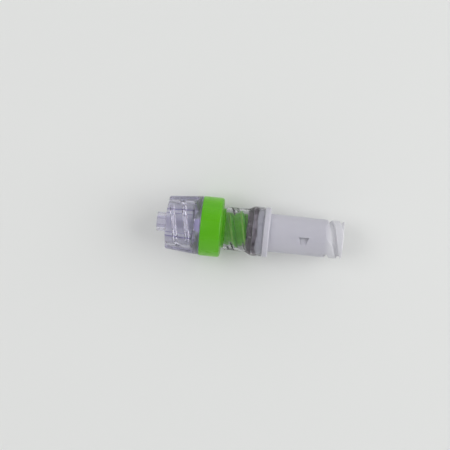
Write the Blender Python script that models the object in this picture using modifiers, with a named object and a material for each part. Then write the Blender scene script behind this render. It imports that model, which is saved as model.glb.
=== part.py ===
"""A needle free connector for an infusion line, with a check valve screwed under it.

The connector lies along the X axis. Its male cone points to -X and its access end to +X, and the
green ring of the valve touches the ground. Each piece is turned round its own Z axis, at stations
that are measured from the end of the male cone, and then hangs under one empty that lays it down.
"""

import math

import bmesh
import bpy
from mathutils import Vector

MM = 0.001

# Round pieces, and the gap left where two pieces seat on each other
FACETS = 24
FIT = 0.04 * MM
OVERLAP = 0.1 * MM

# Straight stretches in a rounded edge
FINE_EDGE_COUNT = 4
FILLET_COUNT = 3
SMALL_EDGE_COUNT = 2
ROUND = 0.5

# Cone fittings with the usual 6 percent taper, which is 3 percent of the length on the radius
CONE_TAPER = 0.03
CONE_TIP_RADIUS = 1.98 * MM
LUMEN_RADIUS = 1.3 * MM
TIP_CHAMFER = 0.15 * MM

# Double start thread of the cone fittings, right hand
THREAD_LEAD = 5.0 * MM
THREAD_STARTS = 2
THREAD_ROOT_WIDTH = 1.05 * MM
THREAD_CREST_WIDTH = 0.45 * MM
THREAD_RUNOUT_STEPS = 3
COLLAR_ROOT_RADIUS = 4.0 * MM
COLLAR_CREST_RADIUS = 3.5 * MM
NECK_CORE_RADIUS = 3.365 * MM
NECK_CREST_RADIUS = 3.915 * MM

# Valve base: a male cone in a six sided lock collar, on a flange with a cup for the valve disc
TIP_PROJECTION = 2.1 * MM
BASE_COLLAR_DEPTH = 5.7 * MM
HEX_DROP = 0.75 * MM
HEX_CORNER_BEVEL = 0.5 * MM
HEX_RIM_BEVEL = 0.2 * MM
HEX_SIDES = 6
FLOOR_FILLET = 0.45 * MM
BASE_THREAD_MIDDLE = 3.7 * MM
BASE_THREAD_MARGIN = 0.75 * MM
FLANGE_LENGTH = 1.45 * MM
FLANGE_STEP = 0.07 * MM
FLANGE_DRAFT = 0.06 * MM
FLANGE_RAMP = 1.2 * MM
SEAT_HEIGHT = 1.9 * MM
SEAT_DISH_RADIUS = 2.8 * MM
SEAT_DISH_DEPTH = 1.6 * MM
CUP_WALL = 0.78 * MM

# Slit valve disc, held by its rim
DISC_RIM_THICKNESS = 0.9 * MM
DISC_RIM_WIDTH = 1.5 * MM
DISC_WEB_THICKNESS = 0.55 * MM
DISC_WEB_SLOPE = 0.3 * MM
DISC_SLIT_LENGTH = 3.0 * MM
SLIT_WIDTH = 0.08 * MM

# Valve cap: the green ring over the cup, with the threaded female neck
RING_RADIUS = 6.27 * MM
RING_WALL = 0.65 * MM
RING_EDGE = 0.5 * MM
RING_FOOT_EDGE = 0.2 * MM
CLAMP_RIDGE_HEIGHT = 0.42 * MM
CLAMP_RIDGE_WIDTH = 1.3 * MM
PLATE_THICKNESS = 1.05 * MM
HUB_RADIUS = 4.1 * MM
HUB_LENGTH = 0.55 * MM
NECK_LENGTH = 5.35 * MM
NECK_MOUTH_CHAMFER = 0.2 * MM
NECK_THREAD_MIDDLE = 4.85 * MM
NECK_THREAD_MARGIN = 0.85 * MM

# Connector base: a male cone in a round lock collar, flaring to the cup that takes the housing
MOUTH_GAP = 0.15 * MM
NECK_END_GAP = 0.3 * MM
CONE_TIP_GAP = 0.2 * MM
COLLAR_RADIUS = 4.5 * MM
COLLAR_THREAD_MARGIN = 0.95 * MM
FLARE_START = 4.25 * MM
FLARE_LENGTH = 1.8 * MM
FLARE_POINTS = 6
WEB_THICKNESS = 0.8 * MM
SHELL_CUP_RADIUS = 5.17 * MM
SHELL_CUP_WALL = 0.51 * MM
SHELL_CUP_DEPTH = 2.2 * MM
RIM_CHAMFER = 0.12 * MM

# Septum: a hollow silicone boot with a split head, folds and a clamped foot
FOOT_THICKNESS = 0.72 * MM
FOLD_COUNT = 5
FOLD_OUTER_RADIUS = 2.75 * MM
FOLD_INNER_RADIUS = 2.3 * MM
BOOT_WALL = 0.5 * MM
SHOULDER_RADIUS = 3.06 * MM
SHOULDER_LENGTH = 5.6 * MM
HEAD_SOLID = 2.6 * MM
HEAD_EDGE = 0.15 * MM
HEAD_HOLLOW_RADIUS = 1.3 * MM
SEPTUM_SLIT_LENGTH = 2.6 * MM

# Housing: spigot, flange and the long barrel with vent windows and the access thread
HOUSING_FLANGE_RADIUS = 5.175 * MM
HOUSING_FLANGE_LENGTH = 1.21 * MM
HOUSING_FLANGE_EDGE = 0.25 * MM
BARREL_LENGTH = 15.4 * MM
BARREL_ROOT_RADIUS = 3.96 * MM
BARREL_END_RADIUS = 3.9 * MM
BARREL_EDGE = 0.25 * MM
CHAMBER_RADIUS = 3.2 * MM
MOUTH_RADIUS = 2.15 * MM
MOUTH_LENGTH = 3.9 * MM
MOUTH_SHOULDER = 0.5 * MM
WINDOW_FROM_END = 8.15 * MM
WINDOW_LONG_SIDE = 2.3 * MM
WINDOW_SHORT_SIDE = 1.5 * MM
WINDOW_WIDTH = 1.55 * MM
WINDOW_TURN = math.radians(15)
WINDOW_COUNT = 2
GROOVE_MIDDLE_FROM_END = 1.8 * MM
GROOVE_DEPTH = 0.5 * MM
GROOVE_WIDTH = 1.05 * MM
GROOVE_FLOOR_WIDTH = 0.65 * MM
GROOVE_SWEEP_BEFORE = math.radians(130)

# Stations along the axis, from the end of the male cone
BASE_RIM = TIP_PROJECTION
BASE_FLOOR = BASE_RIM + BASE_COLLAR_DEPTH
RING_START = BASE_FLOOR + FLANGE_LENGTH
SEAT_FACE = RING_START + SEAT_HEIGHT
DISC_START = SEAT_FACE + FIT
DISC_END = DISC_START + DISC_RIM_THICKNESS
CLAMP_FACE = DISC_END + FIT
PLATE_START = CLAMP_FACE + CLAMP_RIDGE_HEIGHT
RING_END = PLATE_START + PLATE_THICKNESS
HUB_END = RING_END + HUB_LENGTH
NECK_END = RING_END + NECK_LENGTH
INNER_TIP = PLATE_START + CONE_TIP_GAP
COLLAR_MOUTH = HUB_END + MOUTH_GAP
COLLAR_FLOOR = NECK_END + NECK_END_GAP
WEB_END = COLLAR_FLOOR + WEB_THICKNESS
SHELL_CUP_END = WEB_END + SHELL_CUP_DEPTH
FOOT_START = WEB_END + FIT
FOOT_END = FOOT_START + FOOT_THICKNESS
SPIGOT_START = FOOT_END + FIT
HOUSING_FLANGE_START = SHELL_CUP_END + FIT
HOUSING_FLANGE_END = HOUSING_FLANGE_START + HOUSING_FLANGE_LENGTH
ACCESS_END = HOUSING_FLANGE_END + BARREL_LENGTH
MOUTH_START = ACCESS_END - MOUTH_LENGTH

# Radii that follow from the piece each one seats in or over
FLANGE_RIM_RADIUS = RING_RADIUS - FLANGE_STEP
FLANGE_RADIUS = FLANGE_RIM_RADIUS - FLANGE_DRAFT
HEX_CORNER_RADIUS = RING_RADIUS - HEX_DROP
HEX_FLARE = (FLANGE_RIM_RADIUS - HEX_CORNER_RADIUS) / (RING_START - BASE_RIM)
RING_BORE_RADIUS = RING_RADIUS - RING_WALL
CUP_RADIUS = RING_BORE_RADIUS - FIT
CUP_BORE_RADIUS = CUP_RADIUS - CUP_WALL
DISC_RADIUS = CUP_BORE_RADIUS - FIT
SHELL_CUP_BORE_RADIUS = SHELL_CUP_RADIUS - SHELL_CUP_WALL
SPIGOT_RADIUS = SHELL_CUP_BORE_RADIUS - FIT
HEAD_RADIUS = MOUTH_RADIUS - FIT

# The facing side of the photograph is half a turn from local +X, which points to the ground
FACING = math.pi
FACET_ANGLE = 2 * math.pi / FACETS
GROUND_HEIGHT = RING_RADIUS * math.cos(FACET_ANGLE / 2)


def srgb(red, green, blue):
    """A colour from 0 to 255, as the linear values that a shader takes."""
    return tuple(((channel / 255 + 0.055) / 1.055) ** 2.4 for channel in (red, green, blue))


def make_material(name, colour, roughness, transmission=0.0):
    material = bpy.data.materials.new(name)
    material.use_nodes = True
    shader = material.node_tree.nodes["Principled BSDF"]
    shader.inputs["Base Color"].default_value = (*colour, 1.0)
    shader.inputs["Roughness"].default_value = roughness
    shader.inputs["Metallic"].default_value = 0.0
    shader.inputs["Transmission Weight"].default_value = transmission
    material.diffuse_color = (*colour, 1.0)
    return material


def new_object(name, mesh, collection):
    made = bpy.data.objects.new(name, mesh)
    collection.objects.link(made)
    made.parent = AXIS
    return made


def turn(name, profile, collection, closed=True):
    """A turned piece: (radius, station) points, down the outer side first, and then a Screw."""
    mesh = bpy.data.meshes.new(name)
    points = [Vector((radius, 0, station)) for radius, station in profile]
    edges = [(i, i + 1) for i in range(len(points) - 1)]
    if closed:
        edges.append((len(points) - 1, 0))
    mesh.from_pydata(points, edges, [])
    made = new_object(name, mesh, collection)
    made.rotation_euler.z = FACET_ANGLE / 2
    screw = made.modifiers.new("turned", "SCREW")
    screw.axis = "Z"
    screw.angle = 2 * math.pi
    screw.steps = FACETS
    screw.render_steps = FACETS
    screw.use_merge_vertices = True
    screw.merge_threshold = FIT / 100
    screw.use_smooth_shade = True
    return made


def loft(name, rings, collection):
    """One closed skin over rings of points, with a cap at each end."""
    shape = bmesh.new()
    rows = [[shape.verts.new(point) for point in ring] for ring in rings]
    for lower, upper in zip(rows, rows[1:]):
        for i in range(len(lower)):
            j = (i + 1) % len(lower)
            shape.faces.new((lower[i], lower[j], upper[j], upper[i]))
    shape.faces.new(reversed(rows[0]))
    shape.faces.new(rows[-1])
    bmesh.ops.recalc_face_normals(shape, faces=shape.faces)
    mesh = bpy.data.meshes.new(name)
    shape.to_mesh(mesh)
    shape.free()
    return new_object(name, mesh, collection)


def helix(name, root, crest, root_width, crest_width, middle, first, last):
    """A bar of the thread, from angle first to last, whose middle crosses the facing side.

    Its section leans in from root_width at the root radius to crest_width at the crest radius,
    and the crest runs out into the root over the first and last few steps.
    """
    steps = round((last - first) / FACET_ANGLE)
    rings = []
    for step in range(steps + 1):
        angle = first + step * FACET_ANGLE
        height = min(1.0, (min(step, steps - step) + 0.5) / THREAD_RUNOUT_STEPS)
        station = middle + THREAD_LEAD * (angle - FACING) / (2 * math.pi)
        top = root + (crest - root) * height
        around = Vector((math.cos(angle), math.sin(angle), 0))
        section = (
            (root, -root_width / 2),
            (top, -crest_width / 2),
            (top, crest_width / 2),
            (root, root_width / 2),
        )
        rings.append([around * radius + Vector((0, 0, station + off)) for radius, off in section])
    return loft(name, rings, CUTTERS)


def helix_span(middle, low, high):
    """The angles between which the middle of a helix stays inside two stations."""
    per_metre = 2 * math.pi / THREAD_LEAD
    first = math.ceil((FACING + (low - middle) * per_metre) / FACET_ANGLE) * FACET_ANGLE
    last = math.floor((FACING + (high - middle) * per_metre) / FACET_ANGLE) * FACET_ANGLE
    return first, last


def thread(owner, root, crest, middle, low, high):
    """Joins the starts of a thread to a piece. Each start lies one pitch after the last."""
    sunk = root + math.copysign(OVERLAP, root - crest)
    slope = (THREAD_ROOT_WIDTH - THREAD_CREST_WIDTH) / abs(root - crest)
    for start in range(THREAD_STARTS):
        at = middle + start * THREAD_LEAD / THREAD_STARTS
        first, last = helix_span(at, low, high)
        tool = helix(
            f"{owner.name}_thread_{start + 1}",
            sunk,
            crest,
            THREAD_ROOT_WIDTH + slope * OVERLAP,
            THREAD_CREST_WIDTH,
            at,
            first,
            last,
        )
        boolean(owner, tool, "UNION")


def boolean(owner, tool, operation):
    """Cuts or joins with a tool that stays in the file as a wire guide."""
    step = owner.modifiers.new(tool.name, "BOOLEAN")
    step.operation = operation
    step.solver = "EXACT"
    step.object = tool
    tool.hide_render = True
    tool.display_type = "WIRE"


def box_tool(name, size, centre, short_share=1.0):
    """A box, with its lower Y side drawn in to a share of its length along Z."""
    shape = bmesh.new()
    bmesh.ops.create_cube(shape, size=1.0)
    low = [vertex for vertex in shape.verts if vertex.co.y < 0]
    bmesh.ops.scale(shape, verts=low, vec=(1, 1, short_share))
    bmesh.ops.scale(shape, verts=shape.verts, vec=size)
    bmesh.ops.translate(shape, verts=shape.verts, vec=centre)
    mesh = bpy.data.meshes.new(name)
    shape.to_mesh(mesh)
    shape.free()
    return new_object(name, mesh, CUTTERS)


def arc(centre, radius, first, last, points):
    """Points of a fillet in the (radius, station) plane, with its angles in degrees."""
    found = []
    for i in range(points + 1):
        angle = math.radians(first + (last - first) * i / points)
        found.append((centre[0] + radius * math.cos(angle), centre[1] + radius * math.sin(angle)))
    return found


def cone_radius(station, tip):
    """The radius of a male cone whose end is at station tip."""
    return CONE_TIP_RADIUS + CONE_TAPER * (station - tip)


def finish(made, material):
    made.data.materials.append(material)
    made.data.shade_smooth()
    return made


def make_hex_collar():
    """The six sided tube of the lock collar, which flares towards the flange."""
    depth = RING_START - OVERLAP - BASE_RIM
    shape = bmesh.new()
    bmesh.ops.create_cone(
        shape,
        cap_ends=True,
        segments=HEX_SIDES,
        radius1=HEX_CORNER_RADIUS,
        radius2=HEX_CORNER_RADIUS + HEX_FLARE * depth,
        depth=depth,
    )
    bmesh.ops.translate(shape, verts=shape.verts, vec=(0, 0, BASE_RIM + depth / 2))
    sides = [edge for edge in shape.edges if edge.verts[0].co.z != edge.verts[1].co.z]
    bmesh.ops.bevel(
        shape,
        geom=sides,
        offset=HEX_CORNER_BEVEL,
        segments=FILLET_COUNT,
        profile=ROUND,
        affect="EDGES",
    )
    middle = BASE_RIM + depth / 2
    rim = [edge for edge in shape.edges if max(v.co.z for v in edge.verts) < middle]
    bmesh.ops.bevel(
        shape,
        geom=rim,
        offset=HEX_RIM_BEVEL,
        segments=SMALL_EDGE_COUNT,
        profile=ROUND,
        affect="EDGES",
    )
    mesh = bpy.data.meshes.new("hex_collar")
    shape.to_mesh(mesh)
    shape.free()
    collar = new_object("hex_collar", mesh, CUTTERS)
    bore = [
        (COLLAR_ROOT_RADIUS, RING_START),
        (COLLAR_ROOT_RADIUS, BASE_RIM - OVERLAP),
    ]
    axis_ends = [(0, bore[0][1]), *bore, (0, bore[1][1])]
    boolean(collar, turn("hex_collar_bore", axis_ends, CUTTERS, closed=False), "DIFFERENCE")
    return collar


def make_valve_base(material):
    flat = math.cos(math.pi / HEX_SIDES)
    ramp_radius = flat * (HEX_CORNER_RADIUS + HEX_FLARE * BASE_COLLAR_DEPTH)
    fillet_centre = (COLLAR_ROOT_RADIUS - FLOOR_FILLET, BASE_FLOOR - FLOOR_FILLET)
    profile = [
        (CUP_RADIUS, PLATE_START - FIT),
        (CUP_RADIUS, RING_START),
        (FLANGE_RIM_RADIUS, RING_START),
        (FLANGE_RADIUS, BASE_FLOOR + FLANGE_RAMP),
        (ramp_radius - OVERLAP, BASE_FLOOR),
        (COLLAR_ROOT_RADIUS + OVERLAP, BASE_FLOOR - FLOOR_FILLET - OVERLAP),
        (COLLAR_ROOT_RADIUS - OVERLAP / 10, BASE_FLOOR - FLOOR_FILLET - OVERLAP),
        *arc(fillet_centre, FLOOR_FILLET, 0, 90, FILLET_COUNT)[1:],
        (cone_radius(BASE_FLOOR, 0), BASE_FLOOR),
        (cone_radius(TIP_CHAMFER, 0), TIP_CHAMFER),
        (CONE_TIP_RADIUS - TIP_CHAMFER, 0),
        (LUMEN_RADIUS, 0),
        (LUMEN_RADIUS, SEAT_FACE - SEAT_DISH_DEPTH),
        (SEAT_DISH_RADIUS, SEAT_FACE),
        (CUP_BORE_RADIUS, SEAT_FACE),
        (CUP_BORE_RADIUS, PLATE_START - FIT),
    ]
    made = turn("valve_base", profile, PARTS)
    boolean(made, make_hex_collar(), "UNION")
    thread(
        made,
        COLLAR_ROOT_RADIUS,
        COLLAR_CREST_RADIUS,
        BASE_THREAD_MIDDLE,
        BASE_RIM + BASE_THREAD_MARGIN,
        BASE_FLOOR - BASE_THREAD_MARGIN,
    )
    return finish(made, material)


def make_valve_disc(material):
    middle = (DISC_START + DISC_END) / 2
    web = DISC_WEB_THICKNESS / 2
    rim_inner = DISC_RADIUS - DISC_RIM_WIDTH
    profile = [
        (0, middle + web),
        (rim_inner - DISC_WEB_SLOPE, middle + web),
        (rim_inner, DISC_END),
        (DISC_RADIUS, DISC_END),
        (DISC_RADIUS, DISC_START),
        (rim_inner, DISC_START),
        (rim_inner - DISC_WEB_SLOPE, middle - web),
        (0, middle - web),
    ]
    made = turn("valve_disc", profile, PARTS, closed=False)
    slit = (SLIT_WIDTH, DISC_SLIT_LENGTH, 2 * DISC_RIM_THICKNESS)
    boolean(made, box_tool("disc_slit", slit, (0, 0, middle)), "DIFFERENCE")
    return finish(made, material)


def make_valve_cap(material):
    edge_centre = (RING_RADIUS - RING_EDGE, RING_END - RING_EDGE)
    foot_centre = (RING_RADIUS - RING_FOOT_EDGE, RING_START + FIT + RING_FOOT_EDGE)
    clamp_radius = DISC_RADIUS - FIT
    profile = [
        (NECK_CORE_RADIUS, NECK_END - NECK_MOUTH_CHAMFER),
        (NECK_CORE_RADIUS, HUB_END),
        (HUB_RADIUS, HUB_END),
        (HUB_RADIUS, RING_END),
        *arc(edge_centre, RING_EDGE, 90, 0, FINE_EDGE_COUNT),
        *arc(foot_centre, RING_FOOT_EDGE, 0, -90, SMALL_EDGE_COUNT),
        (RING_BORE_RADIUS, RING_START + FIT),
        (RING_BORE_RADIUS, PLATE_START),
        (clamp_radius, PLATE_START),
        (clamp_radius, CLAMP_FACE),
        (clamp_radius - CLAMP_RIDGE_WIDTH, CLAMP_FACE),
        (clamp_radius - CLAMP_RIDGE_WIDTH, PLATE_START),
        (cone_radius(PLATE_START, INNER_TIP) + FIT, PLATE_START),
        (cone_radius(NECK_END - NECK_MOUTH_CHAMFER, INNER_TIP) + FIT, NECK_END - NECK_MOUTH_CHAMFER),
        (cone_radius(NECK_END, INNER_TIP) + FIT + NECK_MOUTH_CHAMFER, NECK_END),
        (NECK_CORE_RADIUS - NECK_MOUTH_CHAMFER, NECK_END),
    ]
    made = turn("valve_cap", profile, PARTS)
    thread(
        made,
        NECK_CORE_RADIUS,
        NECK_CREST_RADIUS,
        RING_END + NECK_THREAD_MIDDLE - THREAD_LEAD / THREAD_STARTS,
        HUB_END + NECK_THREAD_MARGIN,
        NECK_END - NECK_THREAD_MARGIN,
    )
    return finish(made, material)


def make_connector_base(material):
    fillet_centre = (COLLAR_ROOT_RADIUS - FLOOR_FILLET, COLLAR_FLOOR - FLOOR_FILLET)
    flare_top = COLLAR_MOUTH + FLARE_START + FLARE_LENGTH
    flare = []
    for i in range(FLARE_POINTS + 1):
        share = i / FLARE_POINTS
        ease = (1 + math.cos(math.pi * share)) / 2
        radius = COLLAR_RADIUS + (SHELL_CUP_RADIUS - COLLAR_RADIUS) * ease
        flare.append((radius, flare_top - FLARE_LENGTH * share))
    profile = [
        (SHELL_CUP_RADIUS, SHELL_CUP_END - RIM_CHAMFER),
        *flare,
        (COLLAR_RADIUS, COLLAR_MOUTH + RIM_CHAMFER),
        (COLLAR_RADIUS - RIM_CHAMFER, COLLAR_MOUTH),
        (COLLAR_ROOT_RADIUS, COLLAR_MOUTH),
        *arc(fillet_centre, FLOOR_FILLET, 0, 90, FILLET_COUNT),
        (cone_radius(COLLAR_FLOOR, INNER_TIP), COLLAR_FLOOR),
        (cone_radius(INNER_TIP + TIP_CHAMFER, INNER_TIP), INNER_TIP + TIP_CHAMFER),
        (CONE_TIP_RADIUS - TIP_CHAMFER, INNER_TIP),
        (LUMEN_RADIUS, INNER_TIP),
        (LUMEN_RADIUS, WEB_END),
        (SHELL_CUP_BORE_RADIUS, WEB_END),
        (SHELL_CUP_BORE_RADIUS, SHELL_CUP_END),
        (SHELL_CUP_RADIUS - RIM_CHAMFER, SHELL_CUP_END),
    ]
    made = turn("connector_base", profile, PARTS)
    half_pitch = THREAD_LEAD / THREAD_STARTS / 2
    thread(
        made,
        COLLAR_ROOT_RADIUS,
        COLLAR_CREST_RADIUS,
        RING_END + NECK_THREAD_MIDDLE - half_pitch,
        COLLAR_MOUTH + COLLAR_THREAD_MARGIN,
        COLLAR_FLOOR - COLLAR_THREAD_MARGIN,
    )
    return finish(made, material)


def make_septum(material):
    shoulder_end = MOUTH_START - MOUTH_SHOULDER - FIT
    shoulder_start = shoulder_end - SHOULDER_LENGTH
    fold_pitch = (shoulder_start - FOOT_END) / FOLD_COUNT
    outer = []
    inner = []
    for i in range(2 * FOLD_COUNT + 1):
        radius = FOLD_INNER_RADIUS if i % 2 == 0 else FOLD_OUTER_RADIUS
        station = shoulder_start - i * fold_pitch / 2
        outer.append((radius, station))
        inner.append((radius - BOOT_WALL, station))
    hollow_top = ACCESS_END - HEAD_SOLID
    foot_radius = SPIGOT_RADIUS - FIT
    profile = [
        (0, ACCESS_END),
        (HEAD_RADIUS - HEAD_EDGE, ACCESS_END),
        (HEAD_RADIUS, ACCESS_END - HEAD_EDGE),
        (HEAD_RADIUS, MOUTH_START - FIT),
        (SHOULDER_RADIUS, shoulder_end),
        (SHOULDER_RADIUS, shoulder_start + OVERLAP),
        *outer,
        (foot_radius, FOOT_END),
        (foot_radius, FOOT_START),
        (LUMEN_RADIUS, FOOT_START),
        *reversed(inner),
        (HEAD_HOLLOW_RADIUS, shoulder_start + fold_pitch / 2),
        (HEAD_HOLLOW_RADIUS, hollow_top - HEAD_HOLLOW_RADIUS / 2),
        (0, hollow_top),
    ]
    made = turn("septum", profile, PARTS, closed=False)
    slit = (SLIT_WIDTH, SEPTUM_SLIT_LENGTH, 2 * HEAD_SOLID)
    boolean(made, box_tool("septum_slit", slit, (0, 0, ACCESS_END)), "DIFFERENCE")
    return finish(made, material)


def make_housing(material):
    flange_low = (
        HOUSING_FLANGE_RADIUS - HOUSING_FLANGE_EDGE,
        HOUSING_FLANGE_START + HOUSING_FLANGE_EDGE,
    )
    flange_high = (flange_low[0], HOUSING_FLANGE_END - HOUSING_FLANGE_EDGE)
    end_centre = (BARREL_END_RADIUS - BARREL_EDGE, ACCESS_END - BARREL_EDGE)
    profile = [
        *arc(end_centre, BARREL_EDGE, 90, 0, SMALL_EDGE_COUNT),
        (BARREL_ROOT_RADIUS, HOUSING_FLANGE_END),
        *arc(flange_high, HOUSING_FLANGE_EDGE, 90, 0, SMALL_EDGE_COUNT),
        *arc(flange_low, HOUSING_FLANGE_EDGE, 0, -90, SMALL_EDGE_COUNT),
        (SPIGOT_RADIUS, HOUSING_FLANGE_START),
        (SPIGOT_RADIUS, SPIGOT_START),
        (CHAMBER_RADIUS, SPIGOT_START),
        (CHAMBER_RADIUS, MOUTH_START - MOUTH_SHOULDER),
        (MOUTH_RADIUS, MOUTH_START),
        (MOUTH_RADIUS, ACCESS_END),
    ]
    made = turn("housing", profile, PARTS)
    for i in range(WINDOW_COUNT):
        size = (2 * BARREL_ROOT_RADIUS, WINDOW_WIDTH, WINDOW_LONG_SIDE)
        centre = (-BARREL_ROOT_RADIUS - CHAMBER_RADIUS / 2, 0, ACCESS_END - WINDOW_FROM_END)
        window = box_tool(f"window_{i + 1}", size, centre, WINDOW_SHORT_SIDE / WINDOW_LONG_SIDE)
        window.rotation_euler.z = WINDOW_TURN + i * 2 * math.pi / WINDOW_COUNT
        boolean(made, window, "DIFFERENCE")
    for start in range(THREAD_STARTS):
        turned = start * 2 * math.pi / THREAD_STARTS
        middle = ACCESS_END - GROOVE_MIDDLE_FROM_END - start * THREAD_LEAD / THREAD_STARTS
        _, last = helix_span(middle, SPIGOT_START, ACCESS_END + 2 * GROOVE_WIDTH)
        slope = (GROOVE_WIDTH - GROOVE_FLOOR_WIDTH) / GROOVE_DEPTH
        groove = helix(
            f"access_groove_{start + 1}",
            BARREL_ROOT_RADIUS + OVERLAP,
            BARREL_END_RADIUS - GROOVE_DEPTH,
            GROOVE_WIDTH + slope * OVERLAP,
            GROOVE_FLOOR_WIDTH,
            middle,
            FACING - GROOVE_SWEEP_BEFORE + turned,
            last,
        )
        boolean(made, groove, "DIFFERENCE")
    return finish(made, material)


for old in list(bpy.data.objects):
    bpy.data.objects.remove(old)

PARTS = bpy.data.collections.new("needle_free_connector")
CUTTERS = bpy.data.collections.new("cutters")
bpy.context.scene.collection.children.link(PARTS)
bpy.context.scene.collection.children.link(CUTTERS)

AXIS = bpy.data.objects.new("axis", None)
AXIS.rotation_euler = (0, math.pi / 2, 0)
AXIS.location = (-ACCESS_END / 2, 0, GROUND_HEIGHT)
PARTS.objects.link(AXIS)

make_valve_base(make_material("violet_clear", srgb(150, 146, 182), 0.12, 0.8))
make_valve_disc(make_material("valve_silicone", srgb(222, 222, 220), 0.55))
make_valve_cap(make_material("green_clear", srgb(88, 166, 29), 0.2, 0.3))
make_connector_base(make_material("grey_clear", srgb(150, 152, 160), 0.1, 0.8))
make_septum(make_material("septum_silicone", srgb(214, 214, 218), 0.6))
make_housing(make_material("lavender_plastic", srgb(184, 184, 194), 0.45))
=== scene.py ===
"""The looks of the needle free connector.

Clear violet, green and grey mouldings and a milky housing. Every piece is turned again at full
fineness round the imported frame, with its threads, flats and fillets in the mesh. Stations run
along the axis from the end of the male cone, as in the CAD.
"""

import math

import bmesh
import bpy
import numpy as np
from mathutils import Matrix, Vector


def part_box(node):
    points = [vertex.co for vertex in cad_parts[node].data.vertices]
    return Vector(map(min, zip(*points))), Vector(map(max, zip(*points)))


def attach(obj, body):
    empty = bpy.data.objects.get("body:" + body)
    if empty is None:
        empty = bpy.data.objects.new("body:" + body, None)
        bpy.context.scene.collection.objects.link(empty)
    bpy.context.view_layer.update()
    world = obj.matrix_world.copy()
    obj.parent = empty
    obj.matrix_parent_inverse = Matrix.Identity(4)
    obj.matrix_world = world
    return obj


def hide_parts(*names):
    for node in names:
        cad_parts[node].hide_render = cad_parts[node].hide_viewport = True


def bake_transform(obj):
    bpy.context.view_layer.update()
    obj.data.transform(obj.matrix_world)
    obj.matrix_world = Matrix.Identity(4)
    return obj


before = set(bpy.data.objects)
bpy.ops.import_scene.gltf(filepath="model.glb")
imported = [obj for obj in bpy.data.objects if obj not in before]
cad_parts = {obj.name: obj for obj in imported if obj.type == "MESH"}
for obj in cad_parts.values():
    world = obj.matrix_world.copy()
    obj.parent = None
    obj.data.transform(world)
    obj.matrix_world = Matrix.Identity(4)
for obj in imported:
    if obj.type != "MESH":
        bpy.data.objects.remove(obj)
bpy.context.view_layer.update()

MM = 0.001

# Fineness of the turned skins, and lengths that count as none in them
SIDES = 144
NEAR_AXIS = MM / 1e5
MERGE_DISTANCE = MM / 1e4
SHARP_ANGLE = math.radians(32)

# The gap between fitted pieces, and the usual roundings
FIT = 0.04 * MM
SMALL_EDGE = 0.12 * MM
SOFT_EDGE = 0.25 * MM
ROOT_FILLET = 0.3 * MM
FLOOR_FILLET = 0.45 * MM
WEB_FILLET = 0.2 * MM

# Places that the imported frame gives
TIP_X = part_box("valve_base")[0][0]
AXIS_HEIGHT = (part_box("valve_cap")[0][2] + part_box("valve_cap")[1][2]) / 2
RING_RADIUS = (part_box("valve_cap")[1][2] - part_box("valve_cap")[0][2]) / 2

# Cone fittings and their double start thread
CONE_TAPER = 0.03
CONE_TIP_RADIUS = 1.98 * MM
LUMEN_RADIUS = 1.3 * MM
TIP_EDGE = 0.15 * MM
THREAD_PITCH = 2.5 * MM
THREAD_LEAD = 5.0 * MM
# With one row for a side's share of the lead, diagonals of the mesh run along the threads
FINE_ROW = THREAD_LEAD / SIDES
THREAD_ROOT_WIDTH = 1.1 * MM
THREAD_CREST_WIDTH = 0.4 * MM
SOFT_ROOT_WIDTH = 1.7 * MM
SOFT_CREST_WIDTH = 0.3 * MM
SOFT_THREAD_HEIGHT = 0.36 * MM
THREAD_RUNOUT = 0.5 * MM
THREAD_MARGIN = 0.7 * MM
COLLAR_ROOT_RADIUS = 4.0 * MM
COLLAR_CREST_RADIUS = 3.5 * MM
NECK_CORE_RADIUS = 3.365 * MM
NECK_CREST_RADIUS = 3.915 * MM

# Valve base
BASE_RIM = 2.1 * MM
BASE_FLOOR = 7.8 * MM
FLANGE_RAMP_END = 9.0 * MM
RING_START = 9.25 * MM
SEAT_FACE = 11.15 * MM
HEX_COUNT = 6
HEX_SIXTH = 2 * math.pi / HEX_COUNT
HEX_CORNER_RADIUS = 5.52 * MM
HEX_CORNER_FILLET = 0.35 * MM
FLANGE_RADIUS = 6.1 * MM
FLANGE_RIM_RADIUS = 6.16 * MM
HEX_FLARE = (FLANGE_RIM_RADIUS - HEX_CORNER_RADIUS) / (RING_START - BASE_RIM)
BASE_THREAD_MIDDLE = 3.7 * MM
SEAT_DISH_RADIUS = 2.8 * MM
SEAT_DISH_DEPTH = 1.6 * MM
CUP_RADIUS = 5.58 * MM
CUP_BORE_RADIUS = 4.8 * MM

# Valve disc and cap
DISC_START = 11.19 * MM
DISC_END = 12.09 * MM
DISC_RADIUS = 4.76 * MM
DISC_RIM_WIDTH = 1.5 * MM
DISC_WEB_SLOPE = 0.3 * MM
DISC_WEB = 0.55 * MM
DISC_SLIT_LENGTH = 3.0 * MM
CLAMP_FACE = 12.13 * MM
CLAMP_WIDTH = 1.3 * MM
PLATE_START = 12.55 * MM
RING_END = 13.6 * MM
RING_EDGE = 0.5 * MM
RING_EDGE_POINTS = 8
RING_FOOT_EDGE = 0.2 * MM
RING_BORE_RADIUS = 5.62 * MM
HUB_END = 14.15 * MM
HUB_RADIUS = 4.1 * MM
NECK_END = 18.95 * MM
NECK_THREAD_MIDDLE = 15.95 * MM

# Connector base
INNER_TIP = 12.75 * MM
COLLAR_MOUTH = 14.3 * MM
COLLAR_FLOOR = 19.25 * MM
COLLAR_RADIUS = 4.5 * MM
FLARE_START = 18.55 * MM
FLARE_END = 20.35 * MM
FLARE_ROWS = 24
WEB_END = 20.05 * MM
SHELL_CUP_RADIUS = 5.17 * MM
SHELL_CUP_BORE_RADIUS = 4.66 * MM
SHELL_CUP_END = 22.25 * MM

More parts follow.
